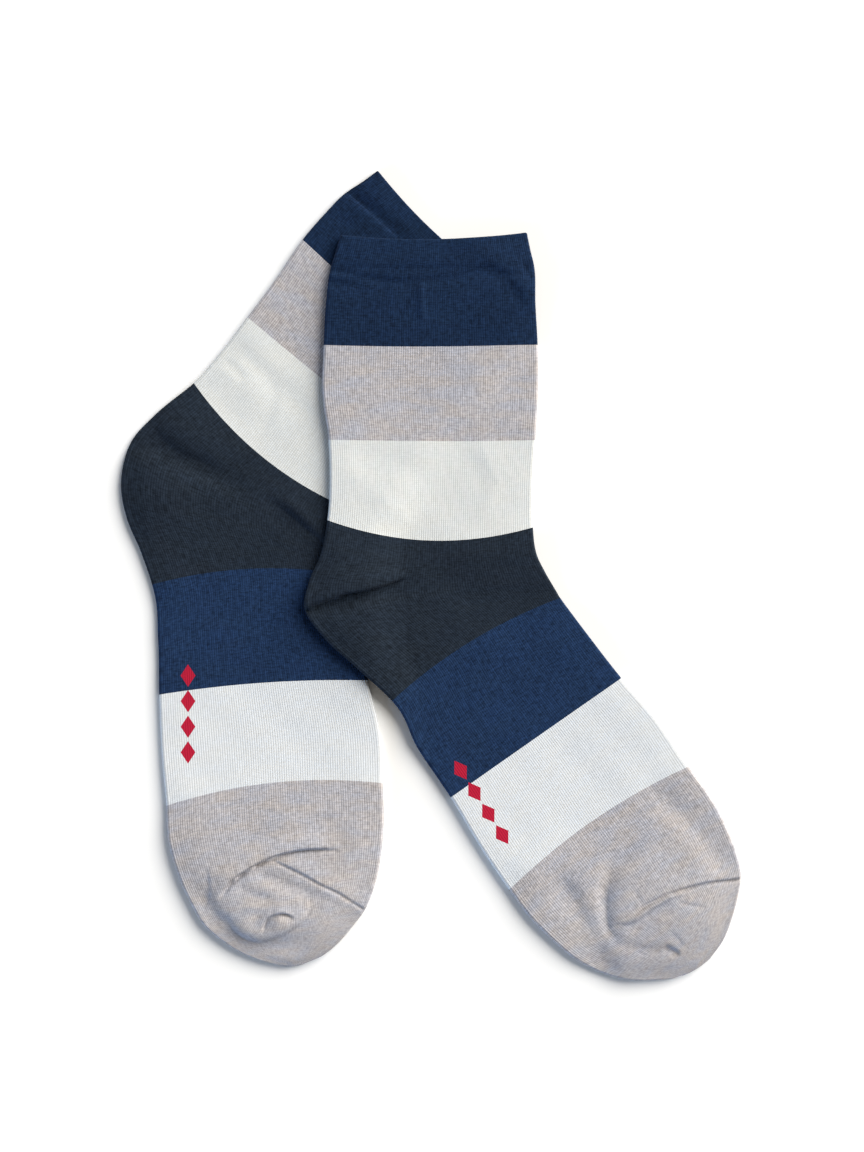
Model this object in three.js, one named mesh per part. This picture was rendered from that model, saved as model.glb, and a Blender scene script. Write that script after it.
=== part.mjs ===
import * as THREE from 'three';

// A pair of crew socks laid flat, one across the other. Millimetres, +Z up.
// x runs across the pair and y from the toes up to the cuffs. Each sock is one knitted tube, pressed flat,
// so its sole and its instep are the two side folds. It is built as the sections that the knitting machine
// makes in a yarn of their own: welt, cuff, leg, heel, foot and toe.

// Cloth
const WALL = 1.1; // single jersey of combed cotton
const WELT_WALL = 1.25; // the welt is turned in and knitted double
const FOLD_RADIUS = 1.5; // round of a side fold
const SEAM_GAP = 0.3; // between one section and the next
const LEAST_HOLLOW = 0.3; // between the two layers inside

// How the socks lie
const UNDER_HEIGHT = 3.3; // thickest place of the lower sock where the upper one crosses it
const LAYER_GAP = 0.35; // between the two socks
const LEDGE = 8; // how far past the lower sock's edge the upper one stays level
const RAMP = 17; // length in which it then comes down to the floor

// Grid
const EDGE_STEPS = [0, 0.3, 1]; // shares of the fold's radius that carry points
const CREASE_CHORDS = 14; // chords that stand for a crease's arc
const OUTLINE_STEP = 6; // spacing of the outline's points, for distances
const TIP_REACH = 0.7; // from the toe's last course to the very tip
const LINING_REACH = 3; // the same on the lining
const LOOK_AHEAD = 0.5; // step that gives the direction along the cloth
const CREASE_FADE = 0.7; // power of the sine that fades a crease out; less is blunter

const YARNS = {
  navy: new THREE.MeshStandardMaterial({ color: 0x20344f, roughness: 0.95, metalness: 0 }),
  taupe: new THREE.MeshStandardMaterial({ color: 0xb3b0b1, roughness: 0.95, metalness: 0 }),
  offWhite: new THREE.MeshStandardMaterial({ color: 0xdddfdd, roughness: 0.95, metalness: 0 }),
  charcoal: new THREE.MeshStandardMaterial({ color: 0x262e39, roughness: 0.95, metalness: 0 }),
};

// Turns a table with named columns into a list of records.
function rows(columns, table) {
  return table.map((row) => Object.fromEntries(columns.map((name, i) => [name, row[i]])));
}

// Courses across each sock, from rim to toe. A course runs from the sole fold to the instep fold, its
// middle bows towards the toe, and the laid tube is as high as the last column says.
const COURSE = ['name', 'soleX', 'soleY', 'instepX', 'instepY', 'bow', 'height'];

const UPPER_COURSES = rows(COURSE, [
  ['rim', -38, 142, 40, 143.5, 2.5, 3.2],
  ['welt', -40, 135, 41.5, 136, 2, 3.3],
  ['weltEnd', -42, 128.5, 43, 129.5, 1, 3.2],
  ['cuff', -44, 114, 43.5, 114, 0.5, 3.0],
  ['cuffEnd', -45, 97, 44.5, 97.5, 0, 3.0],
  ['calf', -45.5, 76, 44.5, 76.5, 0, 3.0],
  ['calfEnd', -43, 56.5, 43.5, 56.5, 0.5, 3.0],
  ['ankle', -42.5, 39.5, 42.5, 38.5, 3.5, 3.0],
  ['ankleEnd', -43.5, 23, 42.5, 20, 7, 3.0],
  ['heelStart', -46.5, 8, 44, 9, 4.5, 3.1],
  ['heelAbove', -51.5, -4, 47.5, 1.5, 2, 3.2],
  ['heelPoint', -53, -14, 49.5, -2, 0, 3.3],
  ['heelBelow', -45, -26, 51, -4.5, -1, 3.3],
  ['heelSole', -31.5, -38.5, 52.5, -7, -2.5, 3.2],
  ['heelEnd', -16.5, -52.5, 54, -9.5, -4, 3.2],
  ['arch', -6, -72, 65.5, -25, -2, 3.2],
  ['archEnd', 8, -93, 79.5, -43, 0, 3.2],
  ['ball', 20, -113, 94, -60, -2, 3.2],
  ['ballEnd', 32.5, -131.5, 107.5, -80, -4, 3.3],
  ['toeRoot', 41.5, -143.5, 117.5, -94, -3, 3.5],
  ['toeWide', 51, -153, 123, -104.5, -1, 3.6],
  ['toeBend', 61.5, -161.5, 127.5, -116, 0, 3.7],
  ['toeCorner', 73, -167, 129.5, -126, 0, 3.7],
  ['toeRound', 84, -169.5, 128, -135.5, 0, 3.6],
  ['toeNarrow', 92.5, -169.5, 125.5, -144.5, 0, 3.4],
  ['toeFront', 100, -169, 122, -153, 0, 3.1],
  ['toeTip', 105, -167.5, 117, -160, 0, 2.8],
]);

const LOWER_COURSES = rows(COURSE, [
  ['rim', -22.5, 169.5, 35.5, 117.5, 1.2, 3.2],
  ['welt', -28.5, 165, 32, 111.5, 0, 3.3],
  ['weltEnd', -35.5, 160.5, 27.5, 104.5, 0, 3.2],
  ['cuff', -45, 151, 19.5, 92.5, 0, 3.0],
  ['cuffEnd', -54, 140.5, 11.5, 80, 0, 3.0],
  ['calf', -65.5, 123.5, 1, 67, 0, 3.0],
  ['calfEnd', -77, 108, -10, 54, 0.5, 3.0],
  ['ankle', -88, 93.5, -19.5, 39.5, 4, 3.0],
  ['ankleEnd', -99.5, 80.5, -27.5, 25, 7, 3.0],
  ['heelStart', -116, 67, -30, 19.5, 5, 3.0],
  ['heelAbove', -126, 55.5, -30.5, 14.5, 3, 3.1],
  ['heelPoint', -130, 37.5, -31, 10.5, 1, 3.1],
  ['heelBelow', -127.5, 23.5, -31, 6.5, -1.5, 3.1],
  ['heelSole', -122, 10.5, -31.5, 3.5, -3.5, 3.1],
  ['heelEnd', -117, -4, -31.5, -0.5, -5, 3.1],
  ['arch', -114.5, -27, -31, -22, -3.5, 3.1],
  ['archEnd', -114, -50, -26.5, -44, -2, 3.1],
  ['ball', -113, -73.5, -21.5, -66.5, -3.5, 3.2],
  ['ballEnd', -111, -96.5, -20.5, -87, -5, 3.3],
  ['toeRoot', -110, -111.5, -20, -102.5, -4, 3.5],
  ['toeWide', -106, -125.5, -21, -116, -2, 3.6],
  ['toeBend', -100, -138.5, -23.5, -129, 0, 3.7],
  ['toeCorner', -95, -146.5, -27.5, -139.5, 0, 3.6],
  ['toeRound', -87.5, -153, -33, -147, 0, 3.4],
  ['toeNarrow', -79.5, -158, -39, -154, 0, 3.2],
  ['toeFront', -70.5, -161.5, -46, -159.5, 0, 2.9],
  ['toeTip', -64, -163, -53, -162.5, 0, 2.7],
]);

// Sections in the order of knitting: the courses that they run between, the yarn, the wall, and how many
// steps the grid takes along them and across their level middle.
const SECTIONS = rows(['name', 'from', 'to', 'yarn', 'wall', 'along', 'across'], [
  ['welt', 'rim', 'weltEnd', 'navy', WELT_WALL, 2, 10],
  ['cuff', 'weltEnd', 'cuffEnd', 'navy', WALL, 3, 10],
  ['leg_taupe', 'cuffEnd', 'calfEnd', 'taupe', WALL, 4, 10],
  ['leg_white', 'calfEnd', 'ankleEnd', 'offWhite', WALL, 4, 10],
  ['heel', 'ankleEnd', 'heelEnd', 'charcoal', WALL, 11, 13],
  ['foot_navy', 'heelEnd', 'archEnd', 'navy', WALL, 5, 10],
  ['foot_white', 'archEnd', 'ballEnd', 'offWhite', WALL, 5, 10],
  ['toe', 'ballEnd', 'toeTip', 'taupe', WALL, 14, 13],
]);
const TOE_LINING_END = 'toeNarrow'; // the hollow inside ends here, short of the toe's outside

// Soft swellings of the top layer, where the heel and toe pockets hold some air: an oval round a centre.
const SWELLING = ['x', 'y', 'reach', 'width', 'turn', 'height'];
// Creases of the top layer: an arc from one end through its middle to the other, the height of the crest,
// and how far the cloth takes to come down on the side of the leg and on the side of the toe.
const CREASE = ['x0', 'y0', 'x1', 'y1', 'x2', 'y2', 'height', 'legSide', 'toeSide'];

const UPPER = {
  name: 'upper',
  courses: UPPER_COURSES,
  swellings: rows(SWELLING, [
    [-36, 1, 20, 13, 0, 1.3],
    [-33, -22, 18, 12, -35, 0.9],
    [92, -148, 24, 15, 25, 1.6],
  ]),
  creases: rows(CREASE, [
    [-51, -9.5, -30, -2.5, -5, 0.5, 1.9, 8, 4],
    [127, -124, 106, -126, 86, -136, 0.9, 4, 4],
    [72, -139, 75, -151, 84, -159, 0.7, 4, 4],
  ]),
};

const LOWER = {
  name: 'lower',
  courses: LOWER_COURSES,
  swellings: rows(SWELLING, [
    [-112, 34, 22, 12, 80, 1.2],
    [-64, -138, 26, 13, 0, 1.6],
  ]),
  creases: rows(CREASE, [
    [-84, -124, -66, -112.5, -43, -110, 1.7, 7, 4],
    [-66, -116, -49, -126, -29, -137, 0.8, 4, 4],
    [-78, -148, -64, -138, -50, -141, 1.1, 4, 4],
  ]),
};

// A smooth curve through values at uneven knots: cubic pieces whose slope at a knot is that of the
// parabola through it and its neighbours.
function spline(knots, values) {
  const last = knots.length - 1;
  const chord = (i) => (values[i + 1] - values[i]) / (knots[i + 1] - knots[i]);
  const slopes = knots.map((_, i) => {
    if (i === 0) return chord(0);
    if (i === last) return chord(last - 1);
    const before = knots[i] - knots[i - 1];
    const after = knots[i + 1] - knots[i];
    return (chord(i - 1) * after + chord(i) * before) / (before + after);
  });
  return (t) => {
    let i = 0;
    while (i < last - 1 && t > knots[i + 1]) i += 1;
    const span = knots[i + 1] - knots[i];
    const f = (t - knots[i]) / span;
    const rise = f * f * (3 - 2 * f);
    return values[i] * (1 - rise) + values[i + 1] * rise
      + span * slopes[i] * f * (1 - f) ** 2 - span * slopes[i + 1] * f * f * (1 - f);
  };
}

// The plan of a sock: its courses as smooth functions of s, the length knitted so far, in millimetres.
function planOf(courses) {
  const knots = [0];
  for (let i = 1; i < courses.length; i += 1) {
    const [a, b] = [courses[i - 1], courses[i]];
    const sole = Math.hypot(b.soleX - a.soleX, b.soleY - a.soleY);
    const instep = Math.hypot(b.instepX - a.instepX, b.instepY - a.instepY);
    knots.push(knots[i - 1] + (sole + instep) / 2);
  }
  const column = (name) => spline(knots, courses.map((course) => course[name]));
  const [soleX, soleY] = [column('soleX'), column('soleY')];
  const [instepX, instepY] = [column('instepX'), column('instepY')];
  const [bow, height] = [column('bow'), column('height')];
  return {
    height,
    knot: (name) => knots[courses.findIndex((course) => course.name === name)],
    width: (s) => Math.hypot(instepX(s) - soleX(s), instepY(s) - soleY(s)),
    // The point a share f of the way from the sole fold to the instep fold.
    point: (s, f) => {
      const [dx, dy] = [instepX(s) - soleX(s), instepY(s) - soleY(s)];
      const width = Math.hypot(dx, dy);
      const push = 4 * f * (1 - f) * bow(s);
      return [soleX(s) + dx * f + (dy / width) * push, soleY(s) + dy * f - (dx / width) * push];
    },
  };
}

// The closed outline of a laid sock, from its rim along the instep to the toe and back along the sole.
function outlineOf(plan, courses) {
  const end = plan.knot(courses.at(-1).name);
  const count = Math.round(end / OUTLINE_STEP);
  const side = (f) => Array.from({ length: count + 1 }, (_, i) => plan.point((end * i) / count, f));
  return [...side(1), ...side(0).reverse()];
}

// Distance from a point to the chord a-b, and the share of the chord where it is nearest.
function toChord([x, y], a, b) {
  const [dx, dy] = [b[0] - a[0], b[1] - a[1]];
  const share = ((x - a[0]) * dx + (y - a[1]) * dy) / (dx * dx + dy * dy);
  const near = Math.min(1, Math.max(0, share));
  return { near, distance: Math.hypot(x - a[0] - dx * near, y - a[1] - dy * near) };
}

// Distance from a point to an outline, nought inside it.
function outside(point, outline) {
  let inside = false;
  let least = Infinity;
  outline.forEach((a, i) => {
    const b = outline[(i + 1) % outline.length];
    least = Math.min(least, toChord(point, a, b).distance);
    const crosses = a[1] > point[1] !== b[1] > point[1];
    if (crosses && point[0] < a[0] + ((b[0] - a[0]) * (point[1] - a[1])) / (b[1] - a[1])) inside = !inside;
  });
  return inside ? 0 : least;
}

// Height of a swelling over a point: a bell over an oval.
function swellingAt([x, y], oval) {
  const turn = THREE.MathUtils.degToRad(oval.turn);
  const [dx, dy] = [x - oval.x, y - oval.y];
  const along = (dx * Math.cos(turn) + dy * Math.sin(turn)) / oval.reach;
  const across = (dy * Math.cos(turn) - dx * Math.sin(turn)) / oval.width;
  return oval.height * Math.exp(-(along * along) - across * across);
}

// Height of a crease over a point: a bell across its arc, fading to nothing at both ends.
function creaseAt(point, crease) {
  const arc = new THREE.QuadraticBezierCurve(
    new THREE.Vector2(crease.x0, crease.y0),
    new THREE.Vector2(2 * crease.x1 - (crease.x0 + crease.x2) / 2, 2 * crease.y1 - (crease.y0 + crease.y2) / 2),
    new THREE.Vector2(crease.x2, crease.y2),
  );
  const points = arc.getPoints(CREASE_CHORDS).map((p) => [p.x, p.y]);
  let best = { distance: Infinity };
  for (let i = 0; i < CREASE_CHORDS; i += 1) {
    const found = toChord(point, points[i], points[i + 1]);
    if (found.distance < best.distance) best = { ...found, from: points[i], to: points[i + 1], i };
  }
  const share = (best.i + best.near) / CREASE_CHORDS;
  const turn = (best.to[0] - best.from[0]) * (point[1] - best.from[1])
    - (best.to[1] - best.from[1]) * (point[0] - best.from[0]);
  const rightwards = crease.x2 > crease.x0 ? 1 : -1;
  const fall = turn * rightwards > 0 ? crease.legSide : crease.toeSide;
  return crease.height * Math.sin(Math.PI * share) ** CREASE_FADE * Math.exp(-((best.distance / fall) ** 2));
}

const lowerPlan = planOf(LOWER.courses);
const lowerOutline = outlineOf(lowerPlan, LOWER.courses);

// What a sock lies on: the floor, or for the upper sock the lower one, with a soft way down past its edge.
function floorUnder(sock, point) {
  if (sock !== UPPER) return 0;
  const past = THREE.MathUtils.smoothstep(outside(point, lowerOutline) - LEDGE, 0, RAMP);
  return (UNDER_HEIGHT + LAYER_GAP) * (1 - past);
}

// Where the points of a ring stand across the sock: close together in the round of each side fold, and
// even between. The list runs over the top from sole to instep, then back underneath.
function ringPlaces(width, inset, radius, across) {
  const round = Math.min(radius, width / 2 - inset);
  const level = width - 2 * (inset + round);
  const top = [
    ...EDGE_STEPS.map((share) => ({ d: inset + share * round, share })),
    ...Array.from({ length: across - 1 }, (_, i) => ({ d: inset + round + (level * (i + 1)) / across, share: 1 })),
    ...EDGE_STEPS.toReversed().map((share) => ({ d: width - inset - share * round, share })),
  ].map((place) => ({ ...place, side: 1 }));
  const under = top.slice(1, -1).reverse().map((place) => ({ ...place, side: -1 }));
  return [...top, ...under];
}

// One ring of the tube, outside or lining, at the knitted length s.
// trim moves it along the cloth, for the gap at a section's end.
function ring(sock, plan, s, trim, across, wall, isLining) {
  const width = plan.width(s);
  const inset = isLining ? wall : 0;
  const radius = isLining ? FOLD_RADIUS - wall + LEAST_HOLLOW : FOLD_RADIUS;
  return ringPlaces(width, inset, radius, across).map(({ d, share, side }) => {
    const f = d / width;
    const here = plan.point(s, f);
    const next = plan.point(s + LOOK_AHEAD, f);
    const pace = Math.hypot(next[0] - here[0], next[1] - here[1]);
    const [x, y] = here.map((value, axis) => value + ((next[axis] - value) / pace) * trim);
    const swelling = sock.swellings.reduce((sum, oval) => sum + swellingAt([x, y], oval), 0);
    const crease = sock.creases.reduce((sum, line) => sum + creaseAt([x, y], line), 0);
    const body = plan.height(s) + swelling;
    const roundness = Math.sqrt(1 - (1 - share) ** 2);
    const floor = floorUnder(sock, [x, y]);
    if (isLining) {
      const half = Math.max(body / 2 - wall, LEAST_HOLLOW / 2) * roundness;
      return [x, y, floor + body / 2 + side * half];
    }
    const top = body + crease;
    return [x, y, floor + (side > 0 ? (top * (1 + roundness)) / 2 : (top * (1 - roundness)) / 2)];
  });
}

// A closed wall from the rings of its outside and its lining. Its start is an open rim. So is its end,
// unless tips closes both surfaces there.
function wallGeometry(outer, lining, tips) {
  const size = outer[0].length;
  const points = [...outer.flat(), ...lining.flat(), ...(tips ?? [])];
  const base = outer.length * size;
  const faces = [];
  const quad = (a, b, c, d) => faces.push(a, b, c, a, c, d);
  for (let j = 0; j < size; j += 1) {
    const k = (j + 1) % size;
    for (let i = 0; i < outer.length - 1; i += 1) {
      const [here, next] = [i * size, (i + 1) * size];
      quad(here + j, next + j, next + k, here + k);
      quad(base + here + j, base + here + k, base + next + k, base + next + j);
    }
    const end = (outer.length - 1) * size;
    quad(j, k, base + k, base + j);
    if (tips) {
      faces.push(end + j, points.length - 2, end + k);
      faces.push(base + end + j, base + end + k, points.length - 1);
    } else {
      quad(end + k, end + j, base + end + j, base + end + k);
    }
  }
  const geometry = new THREE.BufferGeometry();
  geometry.setAttribute('position', new THREE.Float32BufferAttribute(points.flat(), 3));
  geometry.setIndex(faces);
  geometry.computeVertexNormals();
  return geometry;
}

// The middle of a ring, moved on towards the toe.
function tipAfter(points, before, reach) {
  const centre = (list) => [0, 1, 2].map((axis) => list.reduce((sum, p) => sum + p[axis], 0) / list.length);
  const [here, back] = [centre(points), centre(before)];
  const pace = Math.hypot(here[0] - back[0], here[1] - back[1]);
  return [here[0] + ((here[0] - back[0]) / pace) * reach, here[1] + ((here[1] - back[1]) / pace) * reach, here[2]];
}

function sectionMesh(sock, plan, section) {
  const isToe = section.name === 'toe';
  const from = plan.knot(section.from);
  const to = plan.knot(section.to);
  const liningTo = isToe ? plan.knot(TOE_LINING_END) : to;
  const rings = (end, isLining) => Array.from({ length: section.along + 1 }, (_, i) => {
    const first = section.from === 'rim' ? 0 : SEAM_GAP / 2;
    const last = isToe ? 0 : -SEAM_GAP / 2;
    const trim = i === 0 ? first : i === section.along ? last : 0;
    const s = from + ((end - from) * i) / section.along;
    return ring(sock, plan, s, trim, section.across, section.wall, isLining);
  });
  const [outer, lining] = [rings(to, false), rings(liningTo, true)];
  const tips = isToe
    ? [tipAfter(outer.at(-1), outer.at(-2), TIP_REACH), tipAfter(lining.at(-1), lining.at(-2), LINING_REACH)]
    : null;
  const mesh = new THREE.Mesh(wallGeometry(outer, lining, tips), YARNS[section.yarn]);
  mesh.name = `${sock.name}_${section.name}`;
  return mesh;
}

function sockGroup(sock) {
  const plan = planOf(sock.courses);
  const group = new THREE.Group();
  SECTIONS.forEach((section) => group.add(sectionMesh(sock, plan, section)));
  return group;
}

// The pair stands on z = 0, with the middle of its box over the origin.
const pair = new THREE.Group();
pair.add(sockGroup(LOWER), sockGroup(UPPER));
const box = new THREE.Box3().setFromObject(pair, true);
const middle = box.getCenter(new THREE.Vector3());
pair.position.set(-middle.x, -middle.y, -box.min.z);

export default pair;
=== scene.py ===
"""A pair of crew socks laid flat, one across the other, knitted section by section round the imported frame.

Lengths in the tables and functions are millimetres in the plan's own axes: x across the pair, y from the
toes up to the cuffs, z up from the floor. They become metres where a mesh is made.
"""

import math

import bpy
import numpy as np
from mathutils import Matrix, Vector


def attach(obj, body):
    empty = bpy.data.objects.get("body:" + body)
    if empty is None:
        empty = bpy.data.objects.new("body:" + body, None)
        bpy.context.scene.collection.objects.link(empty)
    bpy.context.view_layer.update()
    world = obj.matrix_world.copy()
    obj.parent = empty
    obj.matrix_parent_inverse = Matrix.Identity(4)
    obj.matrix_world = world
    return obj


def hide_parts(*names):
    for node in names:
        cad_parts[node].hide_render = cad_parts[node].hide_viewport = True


bl_info = {
    "name": "Pair of crew socks",
    "version": (1, 0, 0),
    "blender": (4, 5, 0),
    "location": "View3D > Sidebar > Socks",
    "description": "Knits a pair of crew socks laid flat, one across the other",
    "category": "Add Mesh",
}

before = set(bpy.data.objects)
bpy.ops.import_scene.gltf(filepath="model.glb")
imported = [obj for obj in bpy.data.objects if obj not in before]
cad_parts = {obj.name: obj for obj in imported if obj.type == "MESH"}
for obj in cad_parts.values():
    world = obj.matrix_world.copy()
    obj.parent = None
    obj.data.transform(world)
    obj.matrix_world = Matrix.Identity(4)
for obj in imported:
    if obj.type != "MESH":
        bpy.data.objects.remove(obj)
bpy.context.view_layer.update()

MM = 0.001
PLAN_MIDDLE = (-0.322, -0.067)  # middle of the pair's box in the plan's axes
VIEW_MIDDLE = (0.26, -0.35)  # what the camera looks at, in the plan's axes

# How the socks lie
UNDER_HEIGHT = 3.2  # thickest place of the lower sock where the upper one crosses it
LAYER_GAP = 0.2  # between the two socks
LEDGE = 2.5  # how far past the lower sock's edge the upper one stays level
RAMP = 19.0  # length in which it then comes down to the floor

# Courses across each sock, from rim to toe: name, sole x and y, instep x and y, bow, height. A course runs
# from the sole fold to the instep fold, its middle bows towards the toe, and the laid tube is that high.
UPPER_COURSES = [
    ("rim", -38, 142, 40, 143.5, 2.5, 3.65),
    ("welt", -40, 135, 41.5, 136, 2, 3.75),
    ("weltEnd", -42, 128.5, 43, 129.5, 1, 3.75),
    ("cuff", -44, 114, 43.5, 114, 0.5, 3.75),
    ("cuffEnd", -45, 96, 44.5, 96.4, 0.8, 3.75),
    ("calf", -45.5, 76, 44.5, 76.5, 0, 3.75),
    ("calfEnd", -43, 56.5, 43.5, 56.5, 0.5, 3.85),
    ("ankle", -42.5, 39.5, 42.5, 38.5, 3.5, 3.95),
    ("ankleEnd", -43.5, 23, 42.5, 20, 7, 4.05),
    ("heelStart", -46.5, 8, 44, 9, 4.5, 4.5),
    ("heelAbove", -51.5, -4, 47.5, 1.5, 2, 4.7),
    ("heelPoint", -53, -14, 49.5, -2, 0, 4.8),
    ("heelBelow", -45, -26, 51, -4.5, -1, 4.7),
    ("heelSole", -31.5, -38.5, 52.5, -7, -2.5, 4.5),
    ("heelEnd", -16.5, -52.5, 54, -9.5, -4, 4.3),
    ("arch", -6, -72, 65.5, -25, -2, 4.2),
    ("archEnd", 8, -93, 79.5, -43, 0, 4.2),
    ("ball", 20, -113, 94, -60, -2, 4.3),
    ("ballEnd", 32.5, -131.5, 107.5, -80, -4, 4.5),
    ("toeRoot", 41.5, -143.5, 117.5, -94, -3, 5.3),
    ("toeWide", 51, -153, 123, -104.5, -1, 5.7),
    ("toeBend", 61.5, -161.5, 127.5, -116, 0, 5.9),
    ("toeCorner", 73, -167, 129.5, -126, 0, 5.9),
    ("toeRound", 84, -169.5, 128, -135.5, 0, 5.7),
    ("toeNarrow", 92.5, -169.5, 125.5, -144.5, 0, 5.4),
    ("toeFront", 100, -169, 122, -153, 0, 5.0),
    ("toeTip", 105, -167.5, 117, -160, 0, 4.5),
]
LOWER_COURSES = [
    ("rim", -22.5, 169.5, 35.5, 117.5, 3.4, 3.3),
    ("welt", -28.5, 165, 32, 111.5, 1.0, 3.3),
    ("weltEnd", -35.5, 160.5, 27.5, 104.5, 0, 3.3),
    ("cuff", -45, 151, 19.5, 92.5, 0, 3.3),
    ("cuffEnd", -54, 140.5, 11.5, 80, 0, 3.3),
    ("calf", -65.5, 123.5, 1, 67, 0, 3.3),
    ("calfEnd", -77, 108, -10, 54, 0.5, 3.3),
    ("ankle", -88, 93.5, -19.5, 39.5, 4, 3.3),
    ("ankleEnd", -99.5, 80.5, -27.5, 25, 7, 3.3),
    ("heelStart", -116, 67, -30, 19.5, 5, 3.3),
    ("heelAbove", -126, 55.5, -30.5, 14.5, 3, 3.4),
    ("heelPoint", -130, 37.5, -31, 10.5, 1, 3.4),
    ("heelBelow", -127.5, 23.5, -31, 6.5, -1.5, 3.4),
    ("heelSole", -122, 10.5, -31.5, 3.5, -3.5, 3.4),
    ("heelEnd", -117, -4, -31.5, -0.5, -5, 3.4),
    ("arch", -114.5, -27, -31, -22, -3.5, 3.6),
    ("archEnd", -114, -50, -26.5, -44, -2, 3.7),
    ("ball", -113, -73.5, -21.5, -66.5, -3.5, 3.8),
    ("ballEnd", -111, -96.5, -20.5, -87, -5, 4.4),
    ("toeRoot", -110, -111.5, -20, -102.5, -4, 5.3),
    ("toeWide", -106, -125.5, -21, -116, -2, 5.8),
    ("toeBend", -100, -138.5, -23.5, -129, 0, 6.0),
    ("toeCorner", -95, -146.5, -27.5, -139.5, 0, 5.8),
    ("toeRound", -87.5, -153, -33, -147, 0, 5.8),
    ("toeNarrow", -79.5, -158, -39, -154, 0, 5.5),
    ("toeFront", -70.5, -161.5, -46, -159.5, 0, 5.2),
    ("toeTip", -64, -163, -53, -162.5, 0, 4.8),
]
TOE_LINING_END = "toeNarrow"  # the hollow inside ends here, short of the toe's outside

# Sections in the order of knitting: name, first and last course, yarn, step of the grid along the sock.
SECTIONS = [
    ("welt", "rim", "weltEnd", "navy", 0.7),
    ("cuff", "weltEnd", "cuffEnd", "navy", 0.9),
    ("leg_taupe", "cuffEnd", "calfEnd", "taupe", 0.9),
    ("leg_white", "calfEnd", "ankleEnd", "off_white", 0.9),
    ("heel", "ankleEnd", "heelEnd", "charcoal", 0.5),
    ("foot_navy", "heelEnd", "archEnd", "navy", 0.9),
    ("foot_white", "archEnd", "ballEnd", "off_white", 0.9),
    ("toe", "ballEnd", "toeTip", "taupe", 0.38),
]
FOOT_YARN_COPIES = {"foot_navy": "navy", "foot_white": "off_white"}  # copies of their own, with the lozenges; the foot navy is paler than the cuff's, painted light

# Soft swellings of the top layer where the pockets hold air: x, y, reach, width, turn in degrees, height.
UPPER_SWELLINGS = [
    (-36, 3, 20, 12, 10, 1.5),
    (-33, -22, 18, 12, -35, 0.9),
    (102, -146, 20, 13, 35, 1.9),
    (84, -121, 12, 16, 20, 0.8),
    (47, -122, 12, 12, 0, 0.7),
]
LOWER_SWELLINGS = [
    (-108, 38, 25, 20, 80, 2.4),
    (-106, 54, 30, 20, -40, 1.1),
    (-28, 160, 16, 13, -45, 0.9),
    (-76, 82, 18, 13, -45, 0.9),
    (-58, 28, 13, 9, -40, 1.3),
    (-62, -137, 26, 15, 0, 2.0),
    (-63.8, -144.5, 4.2, 3.8, 0, 1.3),
    (-76.5, -144, 4, 3.5, 0, 0.6),
]

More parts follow.
